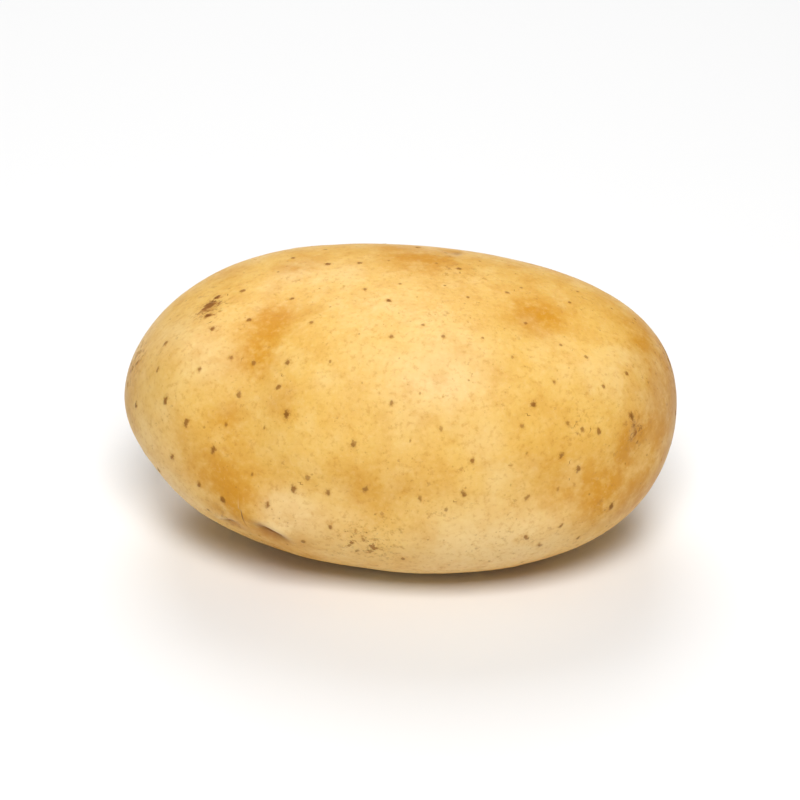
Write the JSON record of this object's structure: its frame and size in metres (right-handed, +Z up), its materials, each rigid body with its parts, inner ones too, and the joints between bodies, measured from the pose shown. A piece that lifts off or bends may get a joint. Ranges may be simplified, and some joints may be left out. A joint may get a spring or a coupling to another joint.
{
  "type": "potato",
  "caption": "Smooth yellow-skinned potato, a whole oval tuber with shallow eyes, lying on a small flat spot.",
  "frame": {"origin": "on the resting surface, below the middle of the tuber's box", "axes": "+X along the tuber from the stem end to the rose end, +Z up from the resting spot, -Y towards the face with the main lobe"},
  "size_m": [0.1, 0.066, 0.0515],
  "materials": {
    "potato_skin": "satin"
  },
  "bodies": {
    "root": {"potato": "potato_skin"}
  },
  "joints": []
}
